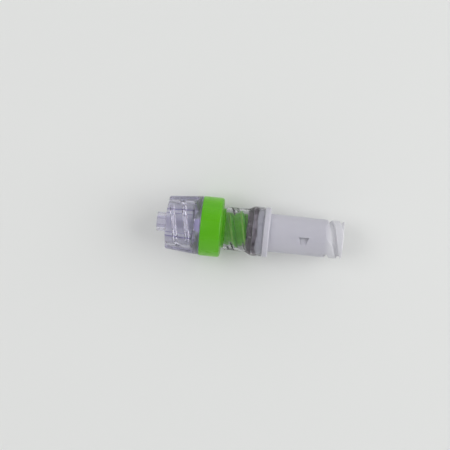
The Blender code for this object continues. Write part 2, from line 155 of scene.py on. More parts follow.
# Septum
FOOT_RADIUS = 4.58 * MM
FOOT_START = 20.09 * MM
FOOT_END = 20.81 * MM
FOLDS = 5
FOLD_ROWS = 12
FOLD_RADIUS = 2.525 * MM
FOLD_HEIGHT = 0.225 * MM
BOOT_WALL = 0.5 * MM
SHOULDER_RADIUS = 3.15 * MM
SHOULDER_START = 28.86 * MM
SHOULDER_EDGE = 0.2 * MM
SHOULDER_FLOOR = 1.0 * MM
HOLLOW_END = 36.3 * MM
HOLLOW_NOSE = 0.65 * MM
SLIT_WIDTH = 0.05 * MM
SLIT_LENGTH = 2.6 * MM

# Housing
SPIGOT_START = 20.85 * MM
HOUSING_FLANGE_START = 22.29 * MM
HOUSING_FLANGE_END = 23.5 * MM
HOUSING_FLANGE_RADIUS = 5.175 * MM
ACCESS_END = 38.9 * MM
MOUTH_START = 35.0 * MM
MOUTH_SHOULDER = 0.5 * MM
MOUTH_RADIUS = 2.15 * MM
CHAMBER_RADIUS = 3.2 * MM
BARREL_ROOT_RADIUS = 3.96 * MM
BARREL_END_RADIUS = 3.9 * MM
GROOVE_MIDDLE = 37.0 * MM
GROOVE_FIRST = 35.15 * MM
GROOVE_DEPTH = 0.5 * MM
GROOVE_WIDTH = 1.15 * MM
GROOVE_FLOOR_WIDTH = 0.7 * MM
LANDING_LENGTH = 1.05 * MM
LANDING_DEPTH = 0.32 * MM
LANDING_MIDDLE = math.radians(-17)
LANDING_SPREAD = math.radians(44)
LANDING_FULLNESS = 1.5
LANDING_ONSET = 4
WINDOW_MIDDLE = 30.75 * MM
WINDOW_LONG_SIDE = 2.1 * MM
WINDOW_SHORT_SIDE = 1.2 * MM
WINDOW_WIDTH = 1.6 * MM
WINDOW_DEPTH = 2.1 * MM
WINDOW_CENTRE_RADIUS = 4.2 * MM
WINDOW_TURN = math.radians(16)
WINDOW_RAMP = 0.65 * MM
WINDOW_COUNT = 2
PARTING_HEIGHT = 0.018 * MM
PARTING_WIDTH = 0.09 * MM

# The side that faces the camera in the photo is half a turn from the ground
FACING = math.pi
ANGLES = np.arange(SIDES) * 2 * math.pi / SIDES


# Turned skins

def arc(centre, radius, first, last, points=5):
    """Points of a fillet in the (radius, station) plane, with its angles in degrees."""
    found = []
    for i in range(points + 1):
        angle = math.radians(first + (last - first) * i / points)
        across = centre[0] + radius * math.cos(angle)
        found.append((across, centre[1] + radius * math.sin(angle)))
    return found


def fine(points):
    """The same outline with a point for every FINE_ROW along the axis, for relief."""
    found = [points[0]]
    for (r0, s0), (r1, s1) in zip(points, points[1:]):
        length = abs(s1 - s0)
        count = max(1, round(length / FINE_ROW))
        for i in range(1, count + 1):
            share = i * FINE_ROW / length if i < count else 1
            found.append((r0 + (r1 - r0) * share, s0 + (s1 - s0) * share))
    return found


def smooth_step(value):
    value = np.clip(value, 0, 1)
    return value * value * (3 - 2 * value)


def thread_height(station, middle, low, high, root_width, crest_width):
    """0 to 1 round the axis at a station: how much of the thread's height stands there."""
    centre = middle + THREAD_LEAD * (ANGLES - FACING) / (2 * math.pi)
    away = (station - centre + THREAD_PITCH / 2) % THREAD_PITCH - THREAD_PITCH / 2
    middle_here = station - away
    ends = np.minimum(middle_here - low, high - middle_here) / THREAD_RUNOUT
    slope = (root_width / 2 - np.abs(away)) / ((root_width - crest_width) / 2)
    return smooth_step(slope) * smooth_step(ends)


def threaded(middle, low, high, depth, root=THREAD_ROOT_WIDTH, crest=THREAD_CREST_WIDTH):
    """Relief of a thread: depth is added to the radius on its crests, and may be negative."""
    def relief(radius, station):
        return radius + depth * thread_height(station, middle, low, high, root, crest)
    return relief


def grooved(radius, station):
    """Relief of the access thread: grooves that start short of the end and run out of it."""
    height = thread_height(
        station, GROOVE_MIDDLE, GROOVE_FIRST, ACCESS_END + THREAD_LEAD,
        GROOVE_WIDTH, GROOVE_FLOOR_WIDTH,
    )
    depth = np.maximum(GROOVE_DEPTH * height, LANDING_DEPTH * landing(station))
    return parted(radius, station) - depth


def landing(station):
    """0 to 1 round the axis: the long slope that leads a mating thread into each groove."""
    off = (ANGLES - FACING + math.pi / 2) % math.pi - math.pi / 2
    before = GROOVE_MIDDLE - GROOVE_WIDTH / 2 + THREAD_LEAD * off / (2 * math.pi) - station
    beside = np.abs(off - LANDING_MIDDLE) / LANDING_SPREAD
    spread = smooth_step(LANDING_FULLNESS * (1 - beside))
    reach = LANDING_LENGTH * np.maximum(spread, NEAR_AXIS)
    slope = np.clip(1 - before / reach, 0, 1)
    reached = before > -GROOVE_WIDTH / 2
    return np.where(reached, slope, 0) * smooth_step(LANDING_ONSET * spread)


def parted(radius, station):
    """Relief of the faint parting line that the two halves of a mould leave on each side."""
    beside = np.abs(np.cos(ANGLES)) * radius
    return radius + PARTING_HEIGHT * smooth_step(1 - beside / PARTING_WIDTH)


def hex_radius(station):
    """The rounded six sided outline round the axis at a station."""
    # Each corner is an arc about a point on its own line, up to where it meets the flats
    corner = HEX_CORNER_RADIUS + HEX_FLARE * (station - BASE_RIM)
    flat = corner * math.cos(HEX_SIXTH / 2)
    off = np.abs((ANGLES + HEX_SIXTH / 2) % HEX_SIXTH - HEX_SIXTH / 2)
    from_corner = HEX_SIXTH / 2 - off
    middle = (flat - HEX_CORNER_FILLET) / math.cos(HEX_SIXTH / 2)
    reach = HEX_CORNER_FILLET**2 - (middle * np.sin(from_corner)) ** 2
    rounded = middle * np.cos(from_corner) + np.sqrt(np.maximum(reach, 0))
    straight = flat / np.cos(off)
    tangent = (flat - HEX_CORNER_FILLET) * math.tan(HEX_SIXTH / 2)
    limit = HEX_SIXTH / 2 - math.atan(tangent / flat)
    return np.where(from_corner < limit, rounded, straight)


def base_outside(radius, station):
    """Relief of the valve base's outside: flats that run into the round flange."""
    hexagon = hex_radius(station)
    if station < BASE_FLOOR:
        return hexagon
    share = (station - BASE_FLOOR) / (FLANGE_RAMP_END - BASE_FLOOR)
    low = hexagon.min()
    ramp = low + (FLANGE_RADIUS - low) * smooth_step(share)
    draft = (station - FLANGE_RAMP_END) / (RING_START - FLANGE_RAMP_END)
    ramp = ramp + (FLANGE_RIM_RADIUS - FLANGE_RADIUS) * smooth_step(draft)
    return np.maximum(hexagon, ramp) if share < 1 else np.full(SIDES, float(ramp))


class Skin:
    """Rows of points round the axis, gathered down the outside first and then up the inside."""

    def __init__(self, name):
        self.name = name
        self.rows = []

    def add(self, points, relief=None):
        """A row for each point, round or with the radii that relief(radius, station) gives."""
        for radius, station in points:
            row = np.full(SIDES, float(radius)) if relief is None else relief(radius, station)
            same = self.rows and self.rows[-1][1] == station
            if same and np.allclose(self.rows[-1][0], row, atol=NEAR_AXIS):
                continue
            self.rows.append((row, station))
        return self

    def build(self, closed=True):
        """The mesh, whose last row joins the first where closed, and else ends on the axis.

        Each quad is split along the diagonal that runs with the threads.
        """
        count = len(self.rows)
        points = np.zeros((count, SIDES, 3))
        for i, (row, station) in enumerate(self.rows):
            points[i, :, 0] = TIP_X + station
            points[i, :, 1] = row * np.sin(ANGLES)
            points[i, :, 2] = AXIS_HEIGHT - row * np.cos(ANGLES)
        upper = np.arange(count if closed else count - 1)
        lower = (upper + 1) % count
        side = np.arange(SIDES)
        beside = (side + 1) % SIDES
        quads = np.stack([
            upper[:, None] * SIDES + side,
            lower[:, None] * SIDES + side,
            lower[:, None] * SIDES + beside,
            upper[:, None] * SIDES + beside,
        ], axis=-1)
        stations = np.array([station for _, station in self.rows])
        rising = (stations[lower] > stations[upper])[:, None, None]
        faces = np.concatenate([
            np.where(rising, quads[..., [0, 1, 2]], quads[..., [0, 1, 3]]),
            np.where(rising, quads[..., [0, 2, 3]], quads[..., [1, 2, 3]]),
        ]).reshape(-1, 3)
        mesh = bpy.data.meshes.new(self.name)
        mesh.from_pydata(points.reshape(-1, 3).tolist(), [], faces.tolist())
        shape = bmesh.new()
        shape.from_mesh(mesh)
        bmesh.ops.remove_doubles(shape, verts=shape.verts, dist=MERGE_DISTANCE)
        bmesh.ops.recalc_face_normals(shape, faces=shape.faces)
        if shape.calc_volume(signed=True) < 0:
            bmesh.ops.reverse_faces(shape, faces=shape.faces)
        shape.to_mesh(mesh)
        shape.free()
        made = bpy.data.objects.new(self.name, mesh)
        bpy.context.scene.collection.objects.link(made)
        return made


def shade(made):
    made.data.shade_smooth()
    made.data.set_sharp_from_angle(angle=SHARP_ANGLE)
    return made


def cut(made, tools):
    """Cuts with each tool in turn, and leaves only the mesh."""
    for tool in tools:
        step = made.modifiers.new(tool.name, "BOOLEAN")
        step.operation = "DIFFERENCE"
        step.solver = "EXACT"
        step.object = tool
    graph = bpy.context.evaluated_depsgraph_get()
    mesh = bpy.data.meshes.new_from_object(made.evaluated_get(graph))
    made.modifiers.clear()
    made.data = mesh
    for tool in tools:
        bpy.data.objects.remove(tool)
    return made


def box_tool(name, size, station, radius, turned, short_share=1.0, ramp=0.0):
    """A box along X, across and out. Its lower side is drawn in, and may be less deep."""
    shape = bmesh.new()
    bmesh.ops.create_cube(shape, size=1.0)
    low = [vertex for vertex in shape.verts if vertex.co.y < 0]
    bmesh.ops.scale(shape, verts=low, vec=(short_share, 1, 1))
    bmesh.ops.scale(shape, verts=shape.verts, vec=size)
    inner = [vertex for vertex in low if vertex.co.z < 0]
    bmesh.ops.translate(shape, verts=inner, vec=(0, 0, ramp))
    mesh = bpy.data.meshes.new(name)
    shape.to_mesh(mesh)
    shape.free()
    made = bpy.data.objects.new(name, mesh)
    bpy.context.scene.collection.objects.link(made)
    made.rotation_euler.x = turned
    out = Vector((0, -math.sin(turned), math.cos(turned))) * radius
    made.location = Vector((TIP_X + station, 0, AXIS_HEIGHT)) + out
    return made


def cone_radius(station, tip):
    """The radius of a male cone whose end is at station tip."""
    return CONE_TIP_RADIUS + CONE_TAPER * (station - tip)


# Pieces

def make_valve_base():
    skin = Skin("valve_base_moulding")
    edge = SMALL_EDGE
    skin.add(arc((CUP_RADIUS - edge, PLATE_START - FIT - edge), edge, 90, 0))
    skin.add([(CUP_RADIUS, RING_START)])
    skin.add(arc((FLANGE_RIM_RADIUS - edge, RING_START - edge), edge, 90, 0))
    rim = BASE_RIM + SOFT_EDGE
    outside = [(FLANGE_RIM_RADIUS, RING_START - edge), (HEX_CORNER_RADIUS, rim)]
    skin.add(fine(outside), base_outside)
    # The rim is rounded along the flats, with each row set in from them
    for inset, station in arc((SOFT_EDGE, rim), SOFT_EDGE, 180, 270)[1:]:
        skin.add([(inset, station)], lambda radius, _: base_outside(radius, rim) - radius)
    skin.add(arc((COLLAR_ROOT_RADIUS + edge, BASE_RIM + edge), edge, 270, 180))
    bore = [
        (COLLAR_ROOT_RADIUS, BASE_RIM + edge),
        (COLLAR_ROOT_RADIUS, BASE_FLOOR - FLOOR_FILLET),
    ]
    thread = threaded(
        BASE_THREAD_MIDDLE, BASE_RIM + THREAD_MARGIN, BASE_FLOOR - THREAD_MARGIN,
        COLLAR_CREST_RADIUS - COLLAR_ROOT_RADIUS,
    )
    skin.add(fine(bore), thread)
    fillet_centre = (COLLAR_ROOT_RADIUS - FLOOR_FILLET, BASE_FLOOR - FLOOR_FILLET)
    skin.add(arc(fillet_centre, FLOOR_FILLET, 0, 90))
    foot = cone_radius(BASE_FLOOR, 0)
    skin.add(arc((foot + ROOT_FILLET, BASE_FLOOR - ROOT_FILLET), ROOT_FILLET, 90, 180))
    skin.add([(cone_radius(TIP_EDGE, 0), TIP_EDGE)])
    skin.add(arc((CONE_TIP_RADIUS - TIP_EDGE, TIP_EDGE), TIP_EDGE, 0, -90))
    skin.add(arc((LUMEN_RADIUS + edge, edge), edge, 270, 180))
    skin.add([(LUMEN_RADIUS, SEAT_FACE - SEAT_DISH_DEPTH), (SEAT_DISH_RADIUS, SEAT_FACE)])
    skin.add([(CUP_BORE_RADIUS, SEAT_FACE)])
    skin.add(arc((CUP_BORE_RADIUS + edge, PLATE_START - FIT - edge), edge, 180, 90))
    return shade(skin.build())


def make_valve_cap():
    skin = Skin("valve_cap_moulding")
    mouth_edge = SOFT_EDGE
    skin.add(arc((NECK_CORE_RADIUS - mouth_edge, NECK_END - mouth_edge), mouth_edge, 90, 0))
    thread = threaded(
        NECK_THREAD_MIDDLE, HUB_END + THREAD_MARGIN, NECK_END + THREAD_RUNOUT,
        NECK_CREST_RADIUS - NECK_CORE_RADIUS,
    )
    root = HUB_END + ROOT_FILLET
    neck = [(NECK_CORE_RADIUS, NECK_END - mouth_edge), (NECK_CORE_RADIUS, root)]
    skin.add(fine(neck), thread)
    skin.add(arc((NECK_CORE_RADIUS + ROOT_FILLET, root), ROOT_FILLET, 180, 270))
    skin.add(arc((HUB_RADIUS - SMALL_EDGE, HUB_END - SMALL_EDGE), SMALL_EDGE, 90, 0))
    skin.add(arc((HUB_RADIUS + SMALL_EDGE, RING_END + SMALL_EDGE), SMALL_EDGE, 180, 270))
    edge_centre = (RING_RADIUS - RING_EDGE, RING_END - RING_EDGE)
    skin.add(arc(edge_centre, RING_EDGE, 90, 0, RING_EDGE_POINTS))
    foot = RING_START + FIT
    foot_centre = (RING_RADIUS - RING_FOOT_EDGE, foot + RING_FOOT_EDGE)
    skin.add(arc(foot_centre, RING_FOOT_EDGE, 0, -90))
    skin.add([(RING_BORE_RADIUS, foot), (RING_BORE_RADIUS, PLATE_START)])
    clamp = DISC_RADIUS - FIT
    skin.add([(clamp, PLATE_START), (clamp, CLAMP_FACE)])
    skin.add([(clamp - CLAMP_WIDTH, CLAMP_FACE), (clamp - CLAMP_WIDTH, PLATE_START)])
    skin.add([(cone_radius(PLATE_START, INNER_TIP) + FIT, PLATE_START)])
    mouth = cone_radius(NECK_END, INNER_TIP) + FIT
    skin.add([(mouth, NECK_END - mouth_edge)])
    skin.add(arc((mouth + mouth_edge, NECK_END - mouth_edge), mouth_edge, 180, 90))
    return shade(skin.build())


def make_connector_base():
    skin = Skin("connector_base_moulding")
    edge = SMALL_EDGE
    skin.add(arc((SHELL_CUP_RADIUS - edge, SHELL_CUP_END - edge), edge, 90, 0))
    for i in range(FLARE_ROWS + 1):
        share = i / FLARE_ROWS
        ease = (1 + math.cos(math.pi * share)) / 2
        radius = COLLAR_RADIUS + (SHELL_CUP_RADIUS - COLLAR_RADIUS) * ease
        skin.add([(radius, FLARE_END - (FLARE_END - FLARE_START) * share)])
    skin.add(arc((COLLAR_RADIUS - edge, COLLAR_MOUTH + edge), edge, 0, -90))
    skin.add(arc((COLLAR_ROOT_RADIUS + edge, COLLAR_MOUTH + edge), edge, 270, 180))
    bore = [
        (COLLAR_ROOT_RADIUS, COLLAR_MOUTH + edge),
        (COLLAR_ROOT_RADIUS, COLLAR_FLOOR - WEB_FILLET),
    ]
    thread = threaded(
        NECK_THREAD_MIDDLE + THREAD_PITCH / 2,
        COLLAR_MOUTH + THREAD_MARGIN, COLLAR_FLOOR - THREAD_MARGIN,
        -SOFT_THREAD_HEIGHT, SOFT_ROOT_WIDTH, SOFT_CREST_WIDTH,
    )
    skin.add(fine(bore), thread)
    fillet_centre = (COLLAR_ROOT_RADIUS - WEB_FILLET, COLLAR_FLOOR - WEB_FILLET)
    skin.add(arc(fillet_centre, WEB_FILLET, 0, 90))
    foot = cone_radius(COLLAR_FLOOR, INNER_TIP)
    skin.add(arc((foot + edge, COLLAR_FLOOR - edge), edge, 90, 180))
    tip = INNER_TIP + TIP_EDGE
    skin.add([(cone_radius(tip, INNER_TIP), tip)])
    skin.add(arc((CONE_TIP_RADIUS - TIP_EDGE, tip), TIP_EDGE, 0, -90))
    skin.add([(LUMEN_RADIUS, INNER_TIP), (LUMEN_RADIUS, WEB_END)])
    skin.add([(SHELL_CUP_BORE_RADIUS, WEB_END), (SHELL_CUP_BORE_RADIUS, SHELL_CUP_END)])
    return shade(skin.build())


def make_valve_disc():
    middle = (DISC_START + DISC_END) / 2
    inner = DISC_RADIUS - DISC_RIM_WIDTH
    web = inner - DISC_WEB_SLOPE
    upper, lower = middle + DISC_WEB / 2, middle - DISC_WEB / 2
    skin = Skin("valve_disc_silicone")
    skin.add([(NEAR_AXIS, upper), (web, upper), (inner, DISC_END)])
    skin.add([(DISC_RADIUS, DISC_END), (DISC_RADIUS, DISC_START), (inner, DISC_START)])
    skin.add([(web, lower), (NEAR_AXIS, lower)])
    made = skin.build(closed=False)
    slit_size = (2 * DISC_WEB, DISC_SLIT_LENGTH, SLIT_WIDTH)
    return shade(cut(made, [box_tool("slit", slit_size, middle, radius=0, turned=0)]))


def make_septum():
    shoulder_end = MOUTH_START - MOUTH_SHOULDER - FIT
    skin = Skin("septum_boot")
    head = MOUTH_RADIUS - FIT
    skin.add([(NEAR_AXIS, ACCESS_END)])
    skin.add(arc((head - TIP_EDGE, ACCESS_END - TIP_EDGE), TIP_EDGE, 90, 0))
    skin.add([(head, MOUTH_START - FIT), (SHOULDER_RADIUS, shoulder_end)])
    shoulder_centre = (SHOULDER_RADIUS - SHOULDER_EDGE, SHOULDER_START + SHOULDER_EDGE)
    skin.add(arc(shoulder_centre, SHOULDER_EDGE, 0, -90))
    outer = []
    rows = FOLDS * FOLD_ROWS
    for i in range(rows + 1):
        share = i / rows
        radius = FOLD_RADIUS - FOLD_HEIGHT * math.cos(2 * math.pi * FOLDS * share)
        outer.append((radius, SHOULDER_START + (FOOT_END - SHOULDER_START) * share))
    skin.add(outer)
    skin.add([(FOOT_RADIUS, FOOT_END), (FOOT_RADIUS, FOOT_START), (LUMEN_RADIUS, FOOT_START)])
    skin.add([(radius - BOOT_WALL, station) for radius, station in reversed(outer)])
    floor = SHOULDER_START + SHOULDER_FLOOR
    skin.add([(LUMEN_RADIUS, floor), (LUMEN_RADIUS, HOLLOW_END - HOLLOW_NOSE)])
    skin.add([(NEAR_AXIS, HOLLOW_END)])
    made = skin.build(closed=False)
    slit_size = (2 * (ACCESS_END - HOLLOW_END), SLIT_LENGTH, SLIT_WIDTH)
    slit = box_tool("slit", slit_size, ACCESS_END, radius=0, turned=math.pi / 2)
    return shade(cut(made, [slit]))


def make_housing():
    skin = Skin("housing_moulding")
    inset = BARREL_END_RADIUS - SOFT_EDGE
    skin.add(arc((inset, ACCESS_END - SOFT_EDGE), SOFT_EDGE, 90, 0), grooved)
    barrel_start = HOUSING_FLANGE_END + SMALL_EDGE
    groove_start = GROOVE_FIRST - GROOVE_WIDTH
    share = (ACCESS_END - groove_start) / (ACCESS_END - barrel_start)
    radius = BARREL_END_RADIUS + (BARREL_ROOT_RADIUS - BARREL_END_RADIUS) * share
    end = [(BARREL_END_RADIUS, ACCESS_END - SOFT_EDGE), (radius, groove_start)]
    skin.add(fine(end), grooved)
    skin.add([(BARREL_ROOT_RADIUS, barrel_start)], parted)
    skin.add(arc((BARREL_ROOT_RADIUS + SMALL_EDGE, barrel_start), SMALL_EDGE, 180, 270))
    inset = HOUSING_FLANGE_RADIUS - SOFT_EDGE
    skin.add(arc((inset, HOUSING_FLANGE_END - SOFT_EDGE), SOFT_EDGE, 90, 0))
    skin.add(arc((inset, HOUSING_FLANGE_START + SOFT_EDGE), SOFT_EDGE, 0, -90))
    spigot = SHELL_CUP_BORE_RADIUS - FIT
    skin.add([(spigot, HOUSING_FLANGE_START), (spigot, SPIGOT_START)])
    skin.add([(CHAMBER_RADIUS, SPIGOT_START), (CHAMBER_RADIUS, MOUTH_START - MOUTH_SHOULDER)])
    skin.add([(MOUTH_RADIUS, MOUTH_START), (MOUTH_RADIUS, ACCESS_END - SMALL_EDGE)])
    skin.add(arc((MOUTH_RADIUS + SMALL_EDGE, ACCESS_END - SMALL_EDGE), SMALL_EDGE, 180, 90))
    made = skin.build()
    windows = []
    for i in range(WINDOW_COUNT):
        windows.append(box_tool(
            f"window_{i}",
            (WINDOW_LONG_SIDE, WINDOW_WIDTH, WINDOW_DEPTH),
            WINDOW_MIDDLE,
            radius=WINDOW_CENTRE_RADIUS,
            turned=WINDOW_TURN + i * 2 * math.pi / WINDOW_COUNT,
            short_share=WINDOW_SHORT_SIDE / WINDOW_LONG_SIDE,
            ramp=WINDOW_RAMP,
        ))
    return shade(cut(made, windows))


# Materials

# Steps and bands in the materials. A step goes from none at its first value to all at its
# second, and a band is a rising step and a falling one.

# Steps and bands of the station, in millimetres
FLANGE_HAZE = (7.9, 8.3)
LUMEN_PART = (9.0, 8.8)
CORNER_SHADE_PART = (8.0, 7.6)
RAMP_HIGHLIGHT_PART = ((7.85, 8.15), (9.2, 9.0))
WEB_SHADE_RISE = (19.6, 20.4)
WEB_SHADE_EDGE = (20.85, 21.15)
WEB_SHADE_WANDER = 1.7
CUP_PART = (20.3, 20.4)
# Painted shade: the dark matt cover on the flare
FLARE_SHADE_PART = ((18.9, 19.2), (20.1, 19.8))
NECK_PART = (14.5, 14.6)
RING_SHADE_PART = (13.15, 13.5)
FLANGE_HIGHLIGHT = (23.6, 23.4)
END_HIGHLIGHT = (34.8, 36.5)

# Of the distance from the axis, in millimetres
COLLAR_ROOTS = ((3.82, 3.96), (4.12, 4.06))
LUMEN_WALL = (1.38, 1.32)
HIGHLIGHT_STROKE_HEIGHT = ((3.3, 3.4), (4.02, 3.9))
CUP_WALL = (4.74, 4.68)
FLARE_SHADE_OUTSIDE = (4.3, 4.45)
RING_SHADE_OUTSIDE = (4.2, 5.2)

# Of the distance along the axis from a thread's ridge, in millimetres
HIGHLIGHT_STROKE_WIDTH = ((-0.36, -0.24), (0.32, 0.2))
HIGHLIGHT_FLANK = ((-0.7, -0.5), (-0.1, -0.3))
SHADE_FLANK = ((-0.2, 0.0), (0.85, 0.55))

# Of the cosine that round_axis gives
CORNER_SHADE_LINE = (-0.98, -0.996)
RAMP_HIGHLIGHT_SIDES = (0.8, 0.9)
RAMP_HIGHLIGHT_WIDTH = (-0.1, 0.6)
HIGHLIGHT_STROKE_LENGTH = (-0.86, -0.92)

# Of a noise
SHADE_STREAKS = (0.35, 0.7)
SHADE_BLOTS = (0.56, 0.66)

# How far each mark covers what lies under it
LUMEN_SHARE = 0.2
CORNER_SHADE_SHARE = 0.95
RAMP_HIGHLIGHT_SHARE = 0.85
RAMP_HIGHLIGHT_SWIRLS = 0.4
HIGHLIGHT_STROKE_SHARE = 0.95
SHADE_BLOT_SHARE = 0.7
# Of the painted shade on the flare
FLARE_SHADE_SHARE = 0.2
FLARE_SHADE_STREAKS = 0.4
HIGHLIGHT_FLANK_SHARE = 0.8
SHADE_FLANK_SHARE = 0.55
RING_SHADE_SHARE = 0.6
FLANGE_HIGHLIGHT_SHARE = 0.1
END_HIGHLIGHT_SHARE = 0.95

# Noises: the scale that the two clear mouldings share, and how far they are drawn out
CLEAR_WAVES = 700
FLOW_STRETCH = (0.25, 1, 1)
STREAK_STRETCH = (0.4, 1, 1)


class Socket:
    """A shader socket that takes part in Python expressions."""

    def __init__(self, graph, socket):
        self.graph = graph
        self.socket = socket

    def math(self, operation, first, second=0.0):
        return self.graph.add("ShaderNodeMath", {"operation": operation}, {0: first, 1: second})

    def __add__(self, other):
        return self.math("ADD", self, other)

    def __radd__(self, other):
        return self.math("ADD", other, self)

    def __sub__(self, other):
        return self.math("SUBTRACT", self, other)

    def __rsub__(self, other):
        return self.math("SUBTRACT", other, self)

    def __mul__(self, other):
        return self.math("MULTIPLY", self, other)

    def __rmul__(self, other):
        return self.math("MULTIPLY", other, self)


class Graph:
    """The nodes of a material or of the world."""

    def __init__(self, owner):
        self.owner = owner
        owner.use_nodes = True
        self.nodes = owner.node_tree.nodes
        self.links = owner.node_tree.links

    def add(self, kind, settings=None, inputs=None, output=0):
        """An output of a new node. Each input is a value or a Socket."""
        node = self.nodes.new(kind)
        for name, value in (settings or {}).items():
            setattr(node, name, value)
        for name, value in (inputs or {}).items():
            self.join(node.inputs[name], value)
        return Socket(self, node.outputs[output])

    def join(self, target, value):
        if isinstance(value, Socket):
            self.links.new(value.socket, target)
        else:
            target.default_value = value

    def mix(self, share, first, second):
        """A colour between two. Each is a colour or another mix."""
        # A Mix node takes its two colours on sockets 6 and 7, and gives one on its output 2
        inputs = {0: share}
        for place, colour in ((6, first), (7, second)):
            inputs[place] = colour if isinstance(colour, Socket) else (*colour, 1.0)
        return self.add("ShaderNodeMix", {"data_type": "RGBA"}, inputs, output=2)

    def step(self, value, ends):
        """0 before the first end, 1 past the second, and smooth from one to the other."""
        return self.add(
            "ShaderNodeMapRange",
            {"interpolation_type": "SMOOTHSTEP"},
            {"Value": value, "From Min": ends[0], "From Max": ends[1]},
        )

    def band(self, value, steps):
        """1 between a rising step and a falling one."""
        return self.step(value, steps[0]) * self.step(value, steps[1])

    def ray(self, kind):
        return self.add("ShaderNodeLightPath", output=kind)


class Finish(Graph):
    """One material, with its Principled shader and its object coordinates."""

    def __init__(self, name):
        super().__init__(bpy.data.materials.new(name))
        self.shader = self.nodes["Principled BSDF"]
        self.place = self.add("ShaderNodeTexCoord", output="Object")

    def set(self, **values):
        """Sets or feeds the shader's own sockets, with _ for each space in their names."""
        for name, value in values.items():
            self.join(self.shader.inputs[name.replace("_", " ")], value)

    def coordinate(self, number):
        """One coordinate in metres: 0 along the connector, 1 across it and 2 up."""
        return self.add("ShaderNodeSeparateXYZ", None, {0: self.place}, output=number)

    def station(self):
        """The station along the axis, in millimetres."""
        return (self.coordinate(0) - TIP_X) * (1 / MM)

    def away(self):
        """The distance from the axis, in millimetres."""
        across = self.coordinate(1)
        up = self.coordinate(2) - AXIS_HEIGHT
        return across.math("SQRT", across * across + up * up) * (1 / MM)

    def angle(self):
        """The angle round the axis, from the side that lies on the ground."""
        across = self.coordinate(1)
        return across.math("ARCTAN2", across, AXIS_HEIGHT - self.coordinate(2))

    def round_axis(self, count):
        """1 in the middle of each of so many flats round the axis, and -1 on their corners."""
        turned = self.angle() * count
        return turned.math("COSINE", turned)

    def from_ridge(self, middle):
        """Millimetres along the axis from the nearest ridge of a thread with that middle."""
        pitch = THREAD_PITCH / MM
        rise = THREAD_LEAD / MM / (2 * math.pi)
        off = self.station() - middle / MM - (self.angle() - FACING) * rise + pitch / 2
        return off.math("FLOORED_MODULO", off, pitch) - pitch / 2

    def noise(self, scale, detail=2.0, stretch=(1, 1, 1)):
        place = self.add("ShaderNodeMapping", None, {"Vector": self.place, "Scale": stretch})
        inputs = {"Vector": place, "Scale": scale, "Detail": detail}
        return self.add("ShaderNodeTexNoise", None, inputs)

    def flow(self, scale):
        """Swirls that are drawn out along the axis, as the plastic flowed."""
        return self.noise(scale, detail=3.0, stretch=FLOW_STRETCH)

    def cover(self, share, colour):
        """Lays a plain matt surface over this one, by a share."""
        matte = self.add("ShaderNodeBsdfDiffuse", None, {"Color": (*colour, 1.0)})
        surface = self.nodes["Material Output"].inputs["Surface"]
        own = Socket(self, surface.links[0].from_socket)
        self.join(surface, self.add("ShaderNodeMixShader", None, {0: share, 1: own, 2: matte}))

    def bump(self, height, distance, strength):
        inputs = {"Height": height, "Distance": distance, "Strength": strength}
        self.set(Normal=self.add("ShaderNodeBump", None, inputs))

    def absorb(self, colour, density):
        """The tint that deepens with the thickness of a clear piece."""
        inputs = {"Color": (*colour, 1.0), "Density": density}
        volume = self.add("ShaderNodeVolumeAbsorption", None, inputs)
        self.join(self.nodes["Material Output"].inputs["Volume"], volume)


def srgb(red, green, blue):
    """A colour from 0 to 255, as the linear values that a shader takes."""
    return tuple(((channel / 255 + 0.055) / 1.055) ** 2.4 for channel in (red, green, blue))


def clear_violet():
    """Clear violet plastic with matt bores. Its painted light: a pale matt patch of painted
    highlight on the ramps of its top and bottom flats, dark lines of painted refraction shade
    at its corners, and white strokes of painted highlight along its thread behind the front
    flat.
    """
    finish = Finish("violet_clear_moulding")
    flow = finish.flow(scale=900)
    station = finish.station()
    away = finish.away()
    sixths = finish.round_axis(HEX_COUNT)
    lumen = finish.step(away, LUMEN_WALL) * finish.step(station, LUMEN_PART) * LUMEN_SHARE
    bore = finish.band(away, COLLAR_ROOTS) + lumen
    # Painted shade: dark violet lines along the six corners of the flats, standing in for the
    # dark lines that the rounded corners refract.
    corner = finish.step(sixths, CORNER_SHADE_LINE) * finish.step(station, CORNER_SHADE_PART)
    clear = finish.mix(flow, srgb(251, 250, 255), srgb(242, 241, 252))
    haze = finish.step(station, FLANGE_HAZE)
    finish.set(
        Base_Color=finish.mix(corner * CORNER_SHADE_SHARE, clear, srgb(118, 106, 165)),
        Roughness=0.02 + flow * 0.05 + haze * 0.25 + bore * 0.45,
        IOR=1.42,
        Transmission_Weight=0.95,
    )
    finish.bump(finish.noise(scale=CLEAR_WAVES), distance=0.02 * MM, strength=0.2)
    finish.absorb(srgb(196, 190, 230), density=66)
    # Painted highlight: a pale matt patch on the flange ramps, only in the middles of the top
    # and bottom flats, where the light catches them.
    two_sides = finish.step(finish.round_axis(2), RAMP_HIGHLIGHT_SIDES)
    ramp = finish.band(station, RAMP_HIGHLIGHT_PART) * two_sides * finish.step(sixths, RAMP_HIGHLIGHT_WIDTH)
    finish.cover(ramp * (RAMP_HIGHLIGHT_SHARE - flow * RAMP_HIGHLIGHT_SWIRLS), srgb(178, 170, 216))
    # Painted highlight: white matt strokes along the ridges of the inner thread, behind the
    # front flat only.
    highlight_stroke = finish.band(finish.from_ridge(BASE_THREAD_MIDDLE), HIGHLIGHT_STROKE_WIDTH)
    highlight_stroke = highlight_stroke * finish.band(away, HIGHLIGHT_STROKE_HEIGHT)
    highlight_stroke = highlight_stroke * finish.step(finish.round_axis(1), HIGHLIGHT_STROKE_LENGTH)
    finish.cover(highlight_stroke * HIGHLIGHT_STROKE_SHARE, srgb(250, 249, 255))
    return finish.owner


